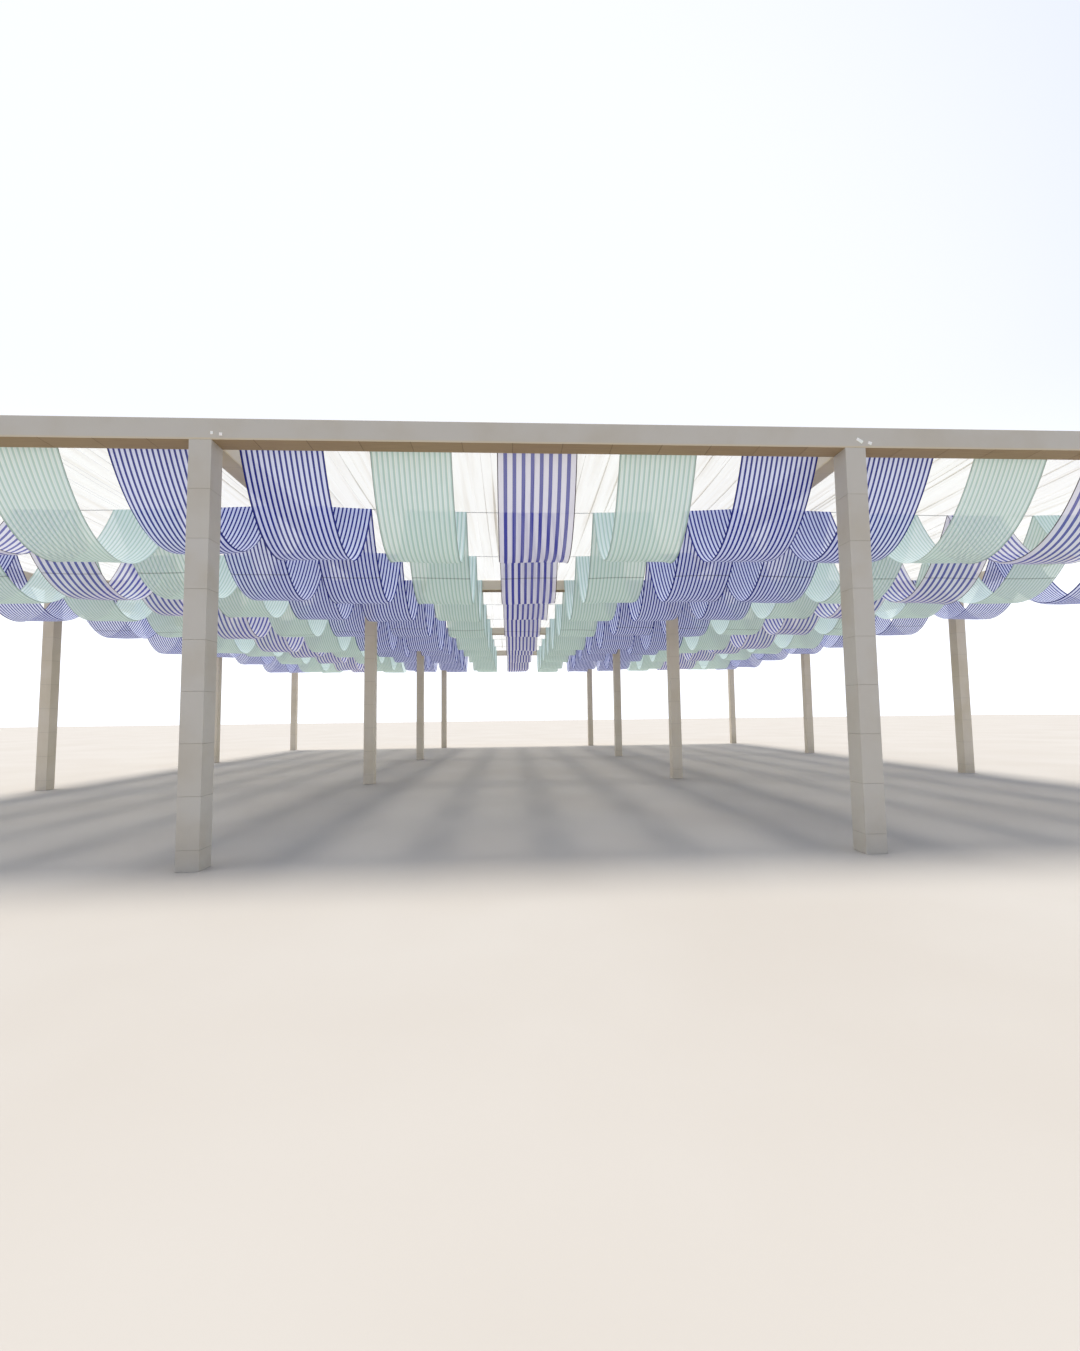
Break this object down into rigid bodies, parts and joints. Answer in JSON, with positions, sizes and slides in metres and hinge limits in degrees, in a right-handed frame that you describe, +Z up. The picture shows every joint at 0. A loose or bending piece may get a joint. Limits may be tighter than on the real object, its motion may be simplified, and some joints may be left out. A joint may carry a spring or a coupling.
{
  "type": "open square event canopy with striped swagged cloth bands",
  "caption": "Open square event canopy: clad posts and beams carry wires, striped cloth bands swagged from front to back and a sheer white ceiling.",
  "frame": {"origin": "on the ground under the middle of the frame", "axes": "+X to the right along the cross beams seen from the front, +Y from front to back along the cloth bands, +Z up"},
  "size_m": [18.5, 18.5, 4.0412],
  "materials": {
    "frame_cladding": "matt cream paint on board cladding",
    "wire_rope": "galvanised wire rope",
    "cloth_blue_pinstripe": "woven cotton, narrow navy stripes on pale blue white",
    "cloth_mint_stripe": "woven cotton, soft green blue stripes on pale mint",
    "cloth_blue_stripe": "woven cotton, wide blue stripes on cream",
    "sheer_cloth": "sheer white gathered voile"
  },
  "bodies": {
    "root": {"cross_beam_row1": "frame_cladding", "post_row1_col1": "frame_cladding", "post_row1_col2": "frame_cladding", "post_row1_col3": "frame_cladding", "post_row1_col4": "frame_cladding", "cross_beam_row2": "frame_cladding", "post_row2_col1": "frame_cladding", "post_row2_col2": "frame_cladding", "post_row2_col3": "frame_cladding", "post_row2_col4": "frame_cladding", "cross_beam_row3": "frame_cladding", "post_row3_col1": "frame_cladding", "post_row3_col2": "frame_cladding", "post_row3_col3": "frame_cladding", "post_row3_col4": "frame_cladding", "cross_beam_row4": "frame_cladding", "post_row4_col1": "frame_cladding", "post_row4_col2": "frame_cladding", "post_row4_col3": "frame_cladding", "post_row4_col4": "frame_cladding", "long_beam_col1_bay1": "frame_cladding", "long_beam_col1_bay2": "frame_cladding", "long_beam_col1_bay3": "frame_cladding", "long_beam_col2_bay1": "frame_cladding", "long_beam_col2_bay2": "frame_cladding", "long_beam_col2_bay3": "frame_cladding", "long_beam_col3_bay1": "frame_cladding", "long_beam_col3_bay2": "frame_cladding", "long_beam_col3_bay3": "frame_cladding", "long_beam_col4_bay1": "frame_cladding", "long_beam_col4_bay2": "frame_cladding", "long_beam_col4_bay3": "frame_cladding", "wire_1": "wire_rope", "wire_2": "wire_rope", "wire_3": "wire_rope", "wire_4": "wire_rope", "wire_5": "wire_rope", "wire_6": "wire_rope", "band_01_thin": "cloth_blue_pinstripe", "band_02_mint": "cloth_mint_stripe", "band_03_wide": "cloth_blue_stripe", "band_04_mint": "cloth_mint_stripe", "band_05_thin": "cloth_blue_pinstripe", "band_06_thin": "cloth_blue_pinstripe", "band_07_mint": "cloth_mint_stripe", "band_08_wide": "cloth_blue_stripe", "band_09_mint": "cloth_mint_stripe", "band_10_thin": "cloth_blue_pinstripe", "band_11_thin": "cloth_blue_pinstripe", "band_12_mint": "cloth_mint_stripe", "band_13_wide": "cloth_blue_stripe", "band_14_mint": "cloth_mint_stripe", "band_15_thin": "cloth_blue_pinstripe", "ceiling_left": "sheer_cloth", "ceiling_middle": "sheer_cloth", "ceiling_right": "sheer_cloth"}
  },
  "joints": []
}
